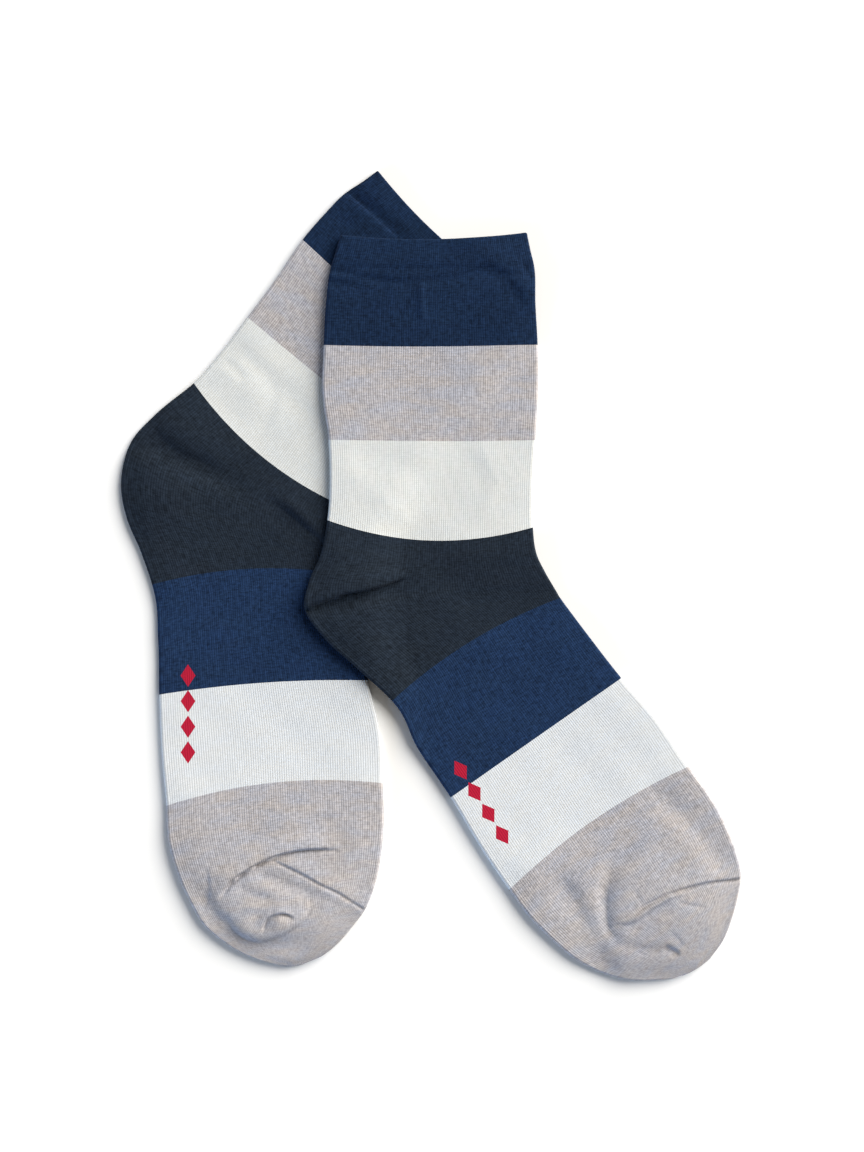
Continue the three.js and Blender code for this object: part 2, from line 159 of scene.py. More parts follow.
# Creases of the top layer, each a line through a few points: the rise along it, how far the cloth takes to
# come back on the line's left and on its right, the depth of a narrow groove on its right, and how far the
# crest leans to the right. A rise below nought is a trough. The names say what each one is.
UPPER_CREASES = {
    "heel fold": (
        [(-72, -19.5), (-53.3, -12.6), (-42.8, -8.6), (-37, -6.2), (-27.7, -4.7), (-21.8, -3.3), (-15, -1.2),
         (-8, 0.8)],
        2.3, 6, 1.0, 2.4, 1.3,
    ),
    "heel tuck": (
        [(-58, -15.5), (-50, -13), (-41, -10.6), (-34.4, -9), (-27.7, -7.2), (-20, -4.8), (-11, -1.5)],
        -2.8, 2.1, 4.6, 0, 0,
    ),
    "heel hollow": ([(-2, -13), (10, -12), (24, -11), (42, -9), (64, -4), (90, 2)], -1.7, 7.5, 13, 0, 0),
    "instep crown": ([(-4, 9), (12, 9), (28, 10), (44, 12), (66, 16), (90, 21)], 1.4, 16, 8, 0, 0),
    "heel shade": ([(8, -12), (5, -18), (-2, -30), (-10, -46)], -0.5, 4, 5, 0, 0),
    "toe seam": (
        [(80.5, -145), (84, -141.2), (86.5, -138.2), (89.5, -136), (93.7, -133.9), (98.3, -131.9),
         (103.3, -130.2), (110.9, -128.1), (117.6, -126.8), (123.9, -126.3), (134, -125), (148, -123)],
        0.6, 4, 0.8, 0.8, 0.2,
    ),
    "toe lip": (
        [(107, -131.4), (100, -133.6), (94, -136.8), (89, -140), (84.5, -142.8), (77, -145.6)],
        1.2, 1.3, 1.2, 0, 0,
    ),
    "toe tuck": (
        [(74, -145.5), (79, -146.4), (84, -145.8), (89, -143), (95, -138.9), (102, -134)],
        -0.9, 1.0, 2.8, 0, 0,
    ),
    "toe stroke": ([(84, -130.6), (85.2, -132.6), (87, -135.4), (88.6, -137.8)], -0.22, 1.3, 2.0, 0, 0),
    "toe hollow": (
        [(92, -104), (81.9, -115.9), (75.6, -122.2), (73.5, -129.8), (73.1, -140.3), (74.3, -148.7),
         (79, -155), (86, -159)],
        -1.6, 3.8, 4.6, 0, 0,
    ),
    "toe pinch": ([(74.2, -126), (73, -134), (72.8, -141), (74, -147.5), (78.5, -154)], -0.7, 1.4, 2.2, 0, 0),
    "toe valley": (
        [(48, -120), (53, -127.5), (60.1, -138.2), (66, -149), (72, -161), (80, -176)],
        -1.8, 4.6, 9, 0, 0,
    ),
    "toe tail": ([(80, -155), (91, -156.4), (103, -156.4)], -0.7, 2.2, 3.4, 0, 0),
    "toe dimple": ([(96.6, -154.6), (99.5, -156), (101.6, -157.2), (104, -159.2)], -1.1, 1.1, 2.0, 0, 0),
    "toe scratch": ([(98, -147.6), (102.2, -151.3), (106, -156)], -0.25, 0.9, 1.6, 0, 0),
    "toe line": ([(101, -135.8), (107.5, -137.5), (116, -139)], -0.35, 1.0, 1.0, 0, 0),
    "instep valley": (
        [(86, -86), (93.5, -91.5), (104.2, -99.1), (112.6, -108.8), (118.9, -118.4), (126, -131)],
        -1.2, 6.5, 5.0, 0, 0,
    ),
    "welt line": (
        [(-66, 129.5), (-43, 127), (-30, 125), (-15, 122.6), (0, 123.5), (12, 125), (20, 127.3), (30, 125.6),
         (44, 128.5), (64, 130)],
        -0.8, 1.0, 2.2, 0, 0,
    ),
    "welt left rim": ([(-50, 127.5), (-41, 125), (-35, 124.6), (-25, 126)], 0.7, 1.2, 1.0, 0, 0),
    "welt edge pucker": ([(-45, 123), (-40, 121.6), (-34, 120.8), (-27, 121.6)], -0.7, 1.4, 2.2, 0, 0),
    "welt left pucker": ([(-21, 127), (-19.5, 122), (-20, 115)], -0.35, 1.6, 2.2, 0, 0),
    "welt middle pucker": ([(-5.5, 124.5), (-7.5, 121), (-11, 114.5), (-15, 107)], -0.9, 1.8, 2.6, 0, 0),
    "welt middle ridge": ([(-4, 126), (-4.2, 118), (-3.5, 104)], 0.6, 1.5, 1.7, 0, 0),
    "welt right pucker": ([(18, 129), (27, 125.5), (34, 119), (40, 109)], -0.8, 2.6, 4.4, 0, 0),
    "welt corner pucker": ([(38, 133), (39.5, 128), (42, 122)], -0.4, 1.3, 1.6, 0, 0),
    "calf streak": ([(21, 81), (16, 76), (7, 67), (-1, 59)], -0.4, 2.6, 3.8, 0, 0),
    "ankle ridge": ([(-44, 53), (-36, 45), (-26, 36), (-14, 26), (-2, 15)], 0.35, 4.5, 6, 0, 0),
    "ankle hollow": ([(-36, 55), (-26, 50.5), (-12, 45), (0, 40)], -0.3, 5, 6, 0, 0),
    "instep ridge": ([(15, 58), (23, 49), (26.5, 40.3), (24, 30), (19, 20)], 0.3, 4.5, 4, 0, 0),
}
LOWER_CREASES = {
    "toe fold": (
        [(-90.5, -137), (-87.4, -130.8), (-83.7, -126.3), (-76.3, -121.3), (-66.8, -116.6), (-59.4, -114.4),
         (-52, -113.3), (-45, -113.2), (-36, -113.6)],
        1.6, 6, 1.0, 1.1, 0.4,
    ),
    "toe fold lip": (
        [(-90, -137), (-86.5, -131.8), (-82.7, -127.7), (-75.3, -122.7), (-65.9, -118), (-58, -115.6)],
        -1.0, 1.0, 1.15, 0, 0,
    ),
    "toe seam": (
        [(-72, -114.5), (-65.7, -117.8), (-53.1, -123.8), (-44.6, -128.6), (-38.3, -131.5), (-34.1, -134.2),
         (-27.8, -138.4), (-14, -149)],
        0.5, 4, 0.8, 0.45, 0.2,
    ),
    "toe seam rim": (
        [(-55, -126), (-48, -129.3), (-39.6, -133.6), (-34.8, -136.2), (-28.4, -140.6), (-14, -151.5)],
        0.35, 1.3, 2.4, 0, 0,
    ),
    "toe lap": ([(-84, -128), (-78, -131.5), (-72, -134), (-63, -137)], -0.6, 2.4, 3.6, 0, 0),
    "toe slope": (
        [(-77, -122.5), (-71.4, -124.8), (-61.7, -128.6), (-52.1, -132.6), (-44, -135.6)],
        -0.95, 3.2, 3.6, 0, 0,
    ),
    "toe crease": (
        [(-93.9, -121), (-93.4, -127), (-93, -132), (-94, -137), (-96, -142)],
        -0.55, 0.9, 2.2, 0, 0,
    ),
    "toe hood": (
        [(-71.8, -150), (-71.3, -146.5), (-69.5, -142.8), (-65.4, -140.4), (-61, -140), (-55.5, -142.5)],
        0.8, 1.9, 0.8, 1.0, 0.4,
    ),
    "toe lobe": (
        [(-84.5, -139), (-82, -144.5), (-79.4, -147.7), (-73.1, -150.8), (-65.7, -149.4), (-59.4, -146.2),
         (-55.2, -142.6), (-53.1, -138.4), (-53, -133)],
        1.7, 4.5, 1.9, 0.35, 0.4,
    ),
    "toe lobe top": ([(-79, -141), (-73, -138.6), (-66, -137.8), (-59, -137.5)], 0.5, 2.5, 2.5, 0, 0),
    "toe valley": (
        [(-99, -124), (-95, -134), (-89.5, -142.5), (-82, -149.5), (-73, -153.6), (-62, -154), (-50, -149)],
        -1.5, 3.0, 4.6, 0, 0,
    ),
    "ankle trough": (
        [(-72, 35), (-64.7, 27.7), (-56.3, 20.2), (-46.8, 10.5), (-30, -8)],
        -2.3, 3.0, 4.2, 0, 0,
    ),
    "ankle ridge": ([(-62, 32), (-54, 25), (-46, 17)], 0.5, 3, 2.6, 0, 0),
    "heel trough": (
        [(-134, 72), (-122, 61), (-114.5, 54.8), (-106.5, 49), (-96, 44), (-85, 38)],
        -2.9, 4.2, 8, 0, 0,
    ),
    "heel shade": ([(-122, 66), (-108, 54), (-97.4, 46.6), (-87, 40), (-74, 33)], -1.2, 6.5, 4.5, 0, 0),
    "leg trough": (
        [(-86, 100.5), (-82.3, 96), (-74.3, 88.4), (-67, 82), (-59.6, 75.6), (-47, 65)],
        -0.6, 4.6, 5.0, 0, 0,
    ),
    "leg dip": ([(-69, 86), (-66, 77), (-67.4, 68), (-74, 57)], -0.35, 2.4, 5.0, 0, 0),
    "leg wisp": ([(-88, 91), (-82, 86), (-77, 80)], -0.3, 2, 2.4, 0, 0),
    "welt line": (
        [(-48, 172), (-38, 163), (-30, 156.5), (-24, 151.5), (-16, 144.5), (-6, 136)],
        -1.0, 3.4, 1.3, 0, 0,
    ),
}

# Dents of the underside, which lies flat between them: a line, the depth, and how far it reaches each way.
UPPER_DENTS = [
    ([(-30, -12), (-12, -6), (8, -3)], 0.7, 3, 2.2),
    ([(104, -120), (96, -129), (86, -135), (76, -138)], 0.6, 1.2, 2.6),
    ([(62, -128), (70, -140), (75, -152)], 0.5, 3, 2.5),
    ([(-12, 124), (-11, 110), (-13, 99)], 0.4, 3, 2),
    ([(20, 70), (14, 58), (12, 44)], 0.4, 4, 3),
]
LOWER_DENTS = [
    ([(-112, 44), (-98, 34), (-84, 28)], 0.8, 3.2, 2.4),
    ([(-84, -122), (-68, -118), (-50, -117), (-34, -124)], 0.7, 3, 1.4),
    ([(-84, -140), (-74, -147), (-62, -148)], 0.5, 2.4, 2.2),
    ([(-84, 100), (-72, 88), (-62, 82)], 0.5, 4, 2.6),
    ([(-104, -30), (-84, -36), (-66, -34)], 0.4, 4, 3),
]

# Where the four knitted lozenges of each sock stand: the first one's middle, and about the last one's.
UPPER_LOZENGES = ((12.2, -81.5), (29.8, -108.8))
LOWER_LOZENGES = ((-101.8, -42), (-101.8, -73.9))
LOZENGE_GAPS = 3  # between four of them
LOZENGE_GAP = 10.7  # from one lozenge's middle to the next one's
LOZENGE_HALF = (4.7, 3.1)  # half a lozenge's length and half its width
UNSEEN = 500.0  # so far off its row that the underside shows no lozenge

# Grid
FOLD_TURNS = 7  # points round a quarter of a side fold
TOP_COLUMNS = 210  # columns across the level middle of the top layer
UNDER_COLUMNS = 60  # and of the underside
LINING_STEP = 3.0  # along the sock, inside
RIM_TURNS = 5  # points round half of a turned rim
RIM_CLEAR = 0.3  # least length between the rim's round and the next ring
PATH_CHORDS = 24  # chords that stand for a crease
OUTLINE_STEP = 3.0  # spacing of the outline's points
CUT_SAMPLES = 200  # places along a section where its width is taken
LEAST_HEIGHT = 2.3  # two walls, one on the other
LEAST_HOLLOW = 0.1  # between the two layers inside
SOFTNESS = 0.18  # how gently the top layer settles on the one below
TIP_ROUND = 1.1  # reach of the round that closes the toe
TIP_ENDS = 0.15  # share of that reach kept beside the side folds
TIP_TURNS = 4
TIP_LEAST = 0.12  # share of the thickness that is left at the very end
TIP_POINT = 0.2  # from there to the point that closes it

# Cloth
GROOVE_WIDTH = 0.75
LEAN_REACH = 0.6  # how much wider than a crease's right side its lean is
INSET_TURN = 0.7  # share of the inset by which a lining's side fold is tighter
FOLD_POWER = 2.2  # above 2 a side fold is squarer than a round
FADE_SHARE = 0.28  # share of a crease over which it fades at each end
FADE_MOST = 15.0  # and the most that a grooved one takes
EDGE_SHARE = 0.92  # height of the laid cloth beside a side fold, of its full height
SAG = 0.9  # how much lower the leg and foot lie midway than beside their folds
EDGE_REACH = 5.5  # how far in it takes to rise to its full height
TOE_EDGE = 0.78  # the same share on a toe
TOE_REACH = 9.0
WELT_PROUD = 0.25  # the doubled welt stands this much above the cuff
WELT_GROOVE = 0.1  # the seam line that ends it
WELT_SOFT = 2.2
WALES = 188  # stitches all round
COOL_LOT = (0.965, 0.995, 1.045, 1)
WARM_LOT = (1.035, 1.0, 0.955, 1)
STITCH_SLANT = 1.2  # courses that a stitch's leg climbs in the width of a wale
LEG_RELIEF = (0.9, 0.55)  # how much a leg varies a stitch's height, and the least it leaves
PATCH_SHARE = 0.3  # how much patches count in a marl beside streaks and ribs
MARL_MIDDLE = 1.15  # mean of those noises

# Kinds and settings of shader nodes
MATH = "ShaderNodeMath"
VECTOR_MATH = "ShaderNodeVectorMath"
MAP_RANGE = "ShaderNodeMapRange"
MIX = "ShaderNodeMix"
MULTIPLY = {"operation": "MULTIPLY"}
MULTIPLY_ADD = {"operation": "MULTIPLY_ADD"}
PINGPONG = {"operation": "PINGPONG"}
COLOUR = {"data_type": "RGBA"}


def to_linear(colour):
    """Linear red, green and blue of an sRGB hex colour: each channel undoes the sRGB curve."""
    channels = (int(colour[i : i + 2], 16) / 255 for i in (0, 2, 4))
    return tuple(c / 12.92 if c <= 0.04045 else ((c + 0.055) / 1.055) ** 2.4 for c in channels)


def smoothstep(t):
    """Nought up to t = 0, one from t = 1, and 3t² − 2t³ between."""
    t = np.clip(t, 0, 1)
    return t * t * (3 - 2 * t)


def through(knots, table):
    """A smooth function through the table's rows at uneven knots.

    Between two knots each column is a cubic whose slope at a knot is that of the parabola through the knot
    and its neighbours.
    """
    spans = np.diff(knots)
    chords = np.diff(table, axis=0) / spans[:, None]
    before, after = spans[:-1, None], spans[1:, None]
    inner = (chords[:-1] * after + chords[1:] * before) / (before + after)
    slopes = np.vstack((chords[:1], inner, chords[-1:]))

    def at(t):
        t = np.asarray(t, float)
        i = np.clip(np.searchsorted(knots, t, side="right") - 1, 0, len(spans) - 1)
        span = spans[i][..., None]
        f = (t - knots[i])[..., None] / span
        rise = f * f * (3 - 2 * f)
        turn = span * (slopes[i] * f * (1 - f) ** 2 - slopes[i + 1] * f * f * (1 - f))
        return table[i] * (1 - rise) + table[i + 1] * rise + turn

    return at


class Plan:
    """A laid sock's plan: its courses as smooth functions of s, the length knitted so far."""

    def __init__(self, courses):
        self.names = [course[0] for course in courses]
        table = np.array([course[1:] for course in courses], float)
        steps = np.diff(table[:, :4], axis=0)
        spans = (np.hypot(steps[:, 0], steps[:, 1]) + np.hypot(steps[:, 2], steps[:, 3])) / 2
        self.knots = np.concatenate(([0.0], np.cumsum(spans)))
        self.course = through(self.knots, table)

    def knot(self, name):
        """The length knitted up to a named course."""
        return self.knots[self.names.index(name)]

    def width(self, s):
        """Distance from the sole fold to the instep fold."""
        c = self.course(s)
        return np.hypot(c[..., 2] - c[..., 0], c[..., 3] - c[..., 1])

    def point(self, s, f):
        """The point a share f of the way from sole to instep, pushed by 4f(1 − f) times the bow."""
        c = self.course(s)
        dx, dy = c[..., 2] - c[..., 0], c[..., 3] - c[..., 1]
        push = 4 * f * (1 - f) * c[..., 4] / np.hypot(dx, dy)
        return np.stack((c[..., 0] + dx * f + dy * push, c[..., 1] + dy * f - dx * push), -1)

    def cut(self, first, last):
        """Width, length and area of the cloth between two courses, cut open and laid flat, in metres."""
        start, end = self.knot(first), self.knot(last)
        widths = 2 * MM * self.width(np.linspace(start, end, CUT_SAMPLES))
        knitted = (end - start) * MM
        return (widths.max(), knitted), widths.mean() * knitted

    def outline(self):
        """The laid sock's closed outline, along the instep to the toe and back along the sole."""
        s = np.linspace(0, self.knots[-1], round(self.knots[-1] / OUTLINE_STEP))
        return np.vstack((self.point(s, 1.0), self.point(s, 0.0)[::-1]))


def smooth_path(points):
    """Evenly spaced points of a smooth line through the given ones."""
    points = np.array(points, float)
    knots = np.concatenate(([0.0], np.cumsum(np.hypot(*np.diff(points, axis=0).T))))
    return through(knots, points)(np.linspace(0, knots[-1], PATH_CHORDS + 1))


def beside(xy, path):
    """Each point's distance to a path, positive on its left, the share of the path passed there, and the
    unit vector to the path's right."""
    least = np.full(len(xy), np.inf)
    signed, share, right = np.zeros(len(xy)), np.zeros(len(xy)), np.zeros((len(xy), 2))
    chords = np.diff(path, axis=0)
    for i, (start, chord) in enumerate(zip(path[:-1], chords)):
        offset = xy - start
        near = np.clip(offset @ chord / (chord @ chord), 0, 1)
        distance = np.hypot(*(offset - near[:, None] * chord).T)
        closer = distance < least
        least = np.where(closer, distance, least)
        turn = chord[0] * offset[:, 1] - chord[1] * offset[:, 0]
        signed = np.where(closer, np.copysign(distance, turn), signed)
        share = np.where(closer, (i + near) / len(chords), share)
        right = np.where(closer[:, None], np.array((chord[1], -chord[0])) / np.hypot(*chord), right)
    return signed, share, right


def outside(xy, outline):
    """Distance from each point to an outline, nought inside it."""
    least = np.full(len(xy), np.inf)
    inside = np.zeros(len(xy), bool)
    for a, b in zip(outline, np.roll(outline, -1, axis=0)):
        chord, offset = b - a, xy - a
        near = np.clip(offset @ chord / (chord @ chord), 0, 1)
        least = np.minimum(least, np.hypot(*(offset - near[:, None] * chord).T))
        crosses = (a[1] > xy[:, 1]) != (b[1] > xy[:, 1])
        if a[1] != b[1]:
            inside ^= crosses & (xy[:, 0] < a[0] + chord[0] * offset[:, 1] / chord[1])
    return np.where(inside, 0, least)


def swollen(xy, ovals):
    """Sum of bells over ovals: height times e to the minus squared distance in the oval's own measure."""
    total = np.zeros(len(xy))
    for x, y, reach, width, turn, height in ovals:
        c, s = math.cos(math.radians(turn)), math.sin(math.radians(turn))
        dx, dy = xy[:, 0] - x, xy[:, 1] - y
        total += height * np.exp(-(((dx * c + dy * s) / reach) ** 2) - ((dy * c - dx * s) / width) ** 2)
    return total


def creased(xy, creases):
    """Height and plan shift that creases give to each point.

    A crease is a bell across its line, with a fall of its own on each side, eased in and out at its ends.
    The groove is a narrow bell just right of the crest, and the lean moves the crest rightwards.
    """
    height, shift = np.zeros(len(xy)), np.zeros_like(xy)
    for points, rise, left, right, groove, lean in creases:
        path = smooth_path(points)
        length = np.hypot(*np.diff(path, axis=0).T).sum()
        fading = min(FADE_SHARE * length, FADE_MOST if groove else length)
        reach = 3 * max(left, right)
        near = ((xy > path.min(0) - reach) & (xy < path.max(0) + reach)).all(1)
        d, share, rightwards = beside(xy[near], path)
        fade = smoothstep(np.minimum(share, 1 - share) * length / fading)
        bell = fade * np.exp(-((d / np.where(d > 0, left, right)) ** 2))
        pit = fade * np.exp(-(((d + right + GROOVE_WIDTH) / GROOVE_WIDTH) ** 2))
        height[near] += rise * bell - groove * pit
        shift[near] += (lean * fade * np.exp(-((d / (right + LEAN_REACH)) ** 2)))[:, None] * rightwards
    return height, shift


def unevenness(xy):
    """A faint roll of the laid cloth: three slow sine waves that cross each other."""
    x, y = xy[:, 0], xy[:, 1]
    return (
        0.06 * np.sin(x / 6.1 + y / 14.3 + 0.4)
        + 0.07 * np.sin(y / 7.9 - x / 17.0 + 1.9)
        + 0.05 * np.sin((x + y) / 4.3 + 2.6)
    )


class Sock:
    """One sock of the pair: its plan, creases, dents, and what it lies on."""

    def __init__(self, name, courses, swellings, creases, dents, lozenges, under=None):
        self.name = name
        self.plan = Plan(courses)
        self.swellings = swellings
        self.creases = list(creases.values())
        self.dents = [(points, depth, left, right, 0, 0) for points, depth, left, right in dents]
        self.lozenges = np.array(lozenges)
        self.under = under

    def floor(self, xy):
        """Nought, or over the lower sock its height, held for the ledge and then down an eased ramp."""
        if self.under is None:
            return np.zeros(len(xy))
        past = outside(xy, self.under.plan.outline())
        return (UNDER_HEIGHT + LAYER_GAP) * (1 - smoothstep((past - LEDGE) / RAMP))


LOWER = Sock("lower", LOWER_COURSES, LOWER_SWELLINGS, LOWER_CREASES, LOWER_DENTS, LOWER_LOZENGES)
UPPER = Sock("upper", UPPER_COURSES, UPPER_SWELLINGS, UPPER_CREASES, UPPER_DENTS, UPPER_LOZENGES, LOWER)


def ring_columns():
    """Where a ring's points stand, from the sole fold over the top and back underneath.

    Each column has its share of the sole fold's round, of the level middle and of the instep fold's round,
    and +1 for the top layer or −1 for the underside.
    """
    turns = np.linspace(0, np.pi / 2, FOLD_TURNS)
    rounds = 1 - np.cos(turns)

    def layer(level_columns):
        level = np.arange(1, level_columns) / level_columns
        sole = np.concatenate((rounds, np.ones(len(level) + FOLD_TURNS)))
        middle = np.concatenate((np.zeros(FOLD_TURNS), level, np.ones(FOLD_TURNS)))
        instep = np.concatenate((np.zeros(FOLD_TURNS + len(level)), 1 - rounds[::-1]))
        return np.stack((sole, middle, instep), -1)

    top, under = layer(TOP_COLUMNS), layer(UNDER_COLUMNS)[1:-1][::-1]
    sides = np.concatenate((np.ones(len(top)), -np.ones(len(under))))
    return np.column_stack((np.vstack((top, under)), sides))


COLUMNS = ring_columns()


def rings(sock, s, inset, fold_radius):
    """Rings of the flattened tube at the lengths s, each as far inside the cloth's outer face as inset says.

    Across, a point stands at inset + turn · (a + b) + level · m from the sole fold, with the shares a, m
    and b of its column. Its height is the mean of both layers' faces, plus or minus half their distance
    times the p-th root of 1 − (1 − r)^p, where r is the share of the fold's round passed there.
    Returns the points, and for each point the share f across and s.
    """
    a, m, b, side = COLUMNS.T
    s, inset = s[:, None], inset[:, None]
    width = sock.plan.width(s)
    turn = np.minimum(fold_radius - INSET_TURN * inset, width / 2 - inset)
    level = width - 2 * (inset + turn)
    across = inset + turn * (a + b) + level * m
    f = across / width
    xy = sock.plan.point(s, f)
    shape = f.shape
    flat = xy.reshape(-1, 2)
    from_edge = np.minimum(across, width - across)
    ball, bend = sock.plan.knot("ball"), sock.plan.knot("toeBend")
    laid = 1 - smoothstep((s - ball) / (bend - ball))
    edge = TOE_EDGE + (EDGE_SHARE - TOE_EDGE) * laid
    risen = 1 - np.exp(-((from_edge / (TOE_REACH + (EDGE_REACH - TOE_REACH) * laid)) ** 2))
    past_welt = (s - sock.plan.knot("weltEnd")) / WELT_SOFT
    welt = WELT_PROUD * smoothstep(-past_welt) - WELT_GROOVE * np.exp(-(past_welt**2))
    rise, shift = creased(flat, sock.creases)
    full = sock.plan.course(s)[..., 5]
    inward = full * (1 - edge) + swollen(flat, sock.swellings).reshape(shape)
    sag = SAG * laid * 4 * f * (1 - f)
    body = full * edge + welt + inward * risen - sag + (rise + unevenness(flat)).reshape(shape)
    dents, _ = creased(flat, sock.dents)
    body = LEAST_HEIGHT + SOFTNESS * np.logaddexp(0, (body - LEAST_HEIGHT) / SOFTNESS)
    dents = np.minimum(dents.reshape(shape), body - LEAST_HEIGHT)
    floor = sock.floor(flat).reshape(shape)
    middle = floor + (body + dents) / 2
    half = np.maximum(body - dents - 2 * inset, LEAST_HOLLOW) / 2
    passed = np.minimum(a, 1 - b)
    z = middle + side * half * (1 - (1 - passed) ** FOLD_POWER) ** (1 / FOLD_POWER)
    shift = shift.reshape(xy.shape) * ((side > 0) * passed)[:, None]
    points = np.concatenate((xy + shift, z[..., None]), -1)
    return points, np.broadcast_to(f, shape), np.broadcast_to(s, shape)


def knit_map(f, s, wale):
    """Where each point lies in the knit, in millimetres: round the tube by its share of all wales, and along
    it by the length knitted."""
    across = f * WALES / 2 * wale
    return np.stack((np.where(COLUMNS[:, 3] > 0, across, WALES * wale - across), s), -1)


def mark_map(sock, points):
    """Where each point lies from the first lozenge, in millimetres along the row and across it."""
    first, last = sock.lozenges
    direction = (last - first) / np.hypot(*(last - first))
    offset = points[..., :2] - first
    across = offset @ np.array((-direction[1], direction[0]))
    return np.stack((offset @ direction, across + np.where(COLUMNS[:, 3] > 0, 0.0, UNSEEN)), -1)


def grid_faces(rows, columns, start, flipped):
    """The quads of a closed band: their corners among the points, and in its wrapped list of UV values."""
    i, j = np.meshgrid(np.arange(rows - 1), np.arange(columns), indexing="ij")
    corners = [(i, j), (i + 1, j), (i + 1, j + 1), (i, j + 1)]
    if flipped:
        corners = corners[::-1]
    return (
        np.stack([start + r * columns + c % columns for r, c in corners], -1).reshape(-1, 4),
        np.stack([r * (columns + 1) + c for r, c in corners], -1).reshape(-1, 4),
    )


def add_mesh(name, points, quads, quad_maps, triangles, triangle_maps):
    """An object at the origin whose mesh has these points in plan millimetres, and these UV maps."""
    mesh = bpy.data.meshes.new(name)
    place = np.array((*PLAN_MIDDLE, 0.0))
    faces = np.concatenate((quads.ravel(), triangles.ravel())).astype(np.int32)
    totals = np.concatenate((np.full(len(quads), 4), np.full(len(triangles), 3))).astype(np.int32)
    mesh.vertices.add(len(points))
    mesh.vertices.foreach_set("co", ((points - place) * MM).astype(np.float32).ravel())
    mesh.loops.add(len(faces))
    mesh.loops.foreach_set("vertex_index", faces)
    mesh.polygons.add(len(totals))
    mesh.polygons.foreach_set("loop_start", np.concatenate(([0], np.cumsum(totals)[:-1])).astype(np.int32))
    mesh.update(calc_edges=True)
    for key in quad_maps:
        layer = mesh.uv_layers.new(name=key)
        values = np.vstack((quad_maps[key].reshape(-1, 2), triangle_maps[key].reshape(-1, 2)))
        layer.uv.foreach_set("vector", values.astype(np.float32).ravel())
    mesh.validate()
    mesh.set_sharp_from_angle(angle=math.radians(75))
    piece = bpy.data.objects.new(name, mesh)
    bpy.context.scene.collection.objects.link(piece)
    return piece


def tube(sock, section, wall, radius):
    """A section's outside and lining as grids of rings, each with its shares and lengths, and the two points
    that close a toe."""
    name, first, last, _, step = section
    start, end = sock.plan.knot(first), sock.plan.knot(last)
    lining_end = sock.plan.knot(TOE_LINING_END) if name == "toe" else end
    outer_s = np.linspace(start, end, max(2, round((end - start) / step)) + 1)
    lining_s = np.linspace(start, lining_end, max(2, round((lining_end - start) / LINING_STEP)) + 1)
    outer_inset, lining_inset = np.zeros_like(outer_s), np.full_like(lining_s, wall)
    if name == "welt":
        turns = np.linspace(0, np.pi / 2, RIM_TURNS)
        rim_s = wall / 2 * (1 - np.cos(turns))
        kept, kept_lining = outer_s > rim_s[-1] + RIM_CLEAR, lining_s > rim_s[-1] + RIM_CLEAR
        outer_s = np.concatenate((rim_s, outer_s[kept]))
        outer_inset = np.concatenate((wall / 2 * (1 - np.sin(turns)), outer_inset[kept]))
        lining_s = np.concatenate((rim_s[1:], lining_s[kept_lining]))
        lining_inset = np.concatenate((wall / 2 * (1 + np.sin(turns[1:])), lining_inset[kept_lining]))
    outer = rings(sock, outer_s, outer_inset, radius)
    lining = rings(sock, lining_s, lining_inset, radius)
    tips = []
    if name == "toe":
        outer = close_tip(*outer)
        for (points, _, _), reach in ((outer, TIP_POINT), (lining, LINING_STEP)):
            centre, back = points[-1].mean(0), points[-2].mean(0)
            pace = (centre - back) * (1, 1, 0)
            tips.append(centre + pace / np.hypot(*pace[:2]) * reach)
    return outer, lining, tips


def knit_section(sock, section, cloth):
    """One knitted section as a closed wall: its outside, its lining, and the rims or tip that join them."""
    name = section[0]
    wall = (cloth.welt_wall if name == "welt" else cloth.wall) / MM
    outer, lining, tips = tube(sock, section, wall, cloth.fold_radius / MM)
    grids, wale = (outer, lining), cloth.wale / MM
    maps = {
        "knit": [wrapped(knit_map(f, s, wale), (WALES * wale, 0)) for _, f, s in grids],
        "row": [wrapped(mark_map(sock, points), (0, 0)) for points, _, _ in grids],
    }
    count, rows, lining_rows = len(COLUMNS), len(outer[0]), len(lining[0])
    base = rows * count
    points = np.vstack([grid[0].reshape(-1, 3) for grid in grids] + tips)
    outer_quads, outer_corners = grid_faces(rows, count, 0, False)
    lining_quads, lining_corners = grid_faces(lining_rows, count, base, True)
    j = np.arange(count)
    k = (j + 1) % count
    rims = [np.stack((j, k, base + k, base + j), -1)]
    rim_corners = [np.stack((j, j + 1, j + 1, j), -1)]
    end_row, lining_row = (rows - 1) * count, base + (lining_rows - 1) * count
    end_corner = (rows - 1) * (count + 1)
    triangles, triangle_corners = np.zeros((0, 3), int), np.zeros((0, 3), int)
    if tips:
        fan = np.stack((end_row + j, np.full(count, len(points) - 2), end_row + k), -1)
        inner_fan = np.stack((lining_row + j, lining_row + k, np.full(count, len(points) - 1)), -1)
        triangles = np.vstack((fan, inner_fan))
        triangle_corners = np.tile(end_corner + np.stack((j, j, j + 1), -1), (2, 1))
    else:
        rims.append(np.stack((end_row + k, end_row + j, lining_row + j, lining_row + k), -1))
        rim_corners.append(end_corner + np.stack((j + 1, j, j, j + 1), -1))
    quads = np.vstack((outer_quads, lining_quads, *rims))
    quad_maps, triangle_maps = {}, {}
    for key, (on_outer, on_lining) in maps.items():
        on_rims = [on_outer[c] for c in rim_corners]
        quad_maps[key] = np.vstack((on_outer[outer_corners], on_lining[lining_corners], *on_rims))
        triangle_maps[key] = on_outer[triangle_corners]
    return add_mesh(f"{sock.name}_{name}_knit", points, quads, quad_maps, triangles, triangle_maps)


def wrapped(values, turn):
    """A grid of UV values as a list, its first column repeated after the last, a whole turn further on."""
    return np.concatenate((values, values[:, :1] + np.array(turn)), 1).reshape(-1, 2)


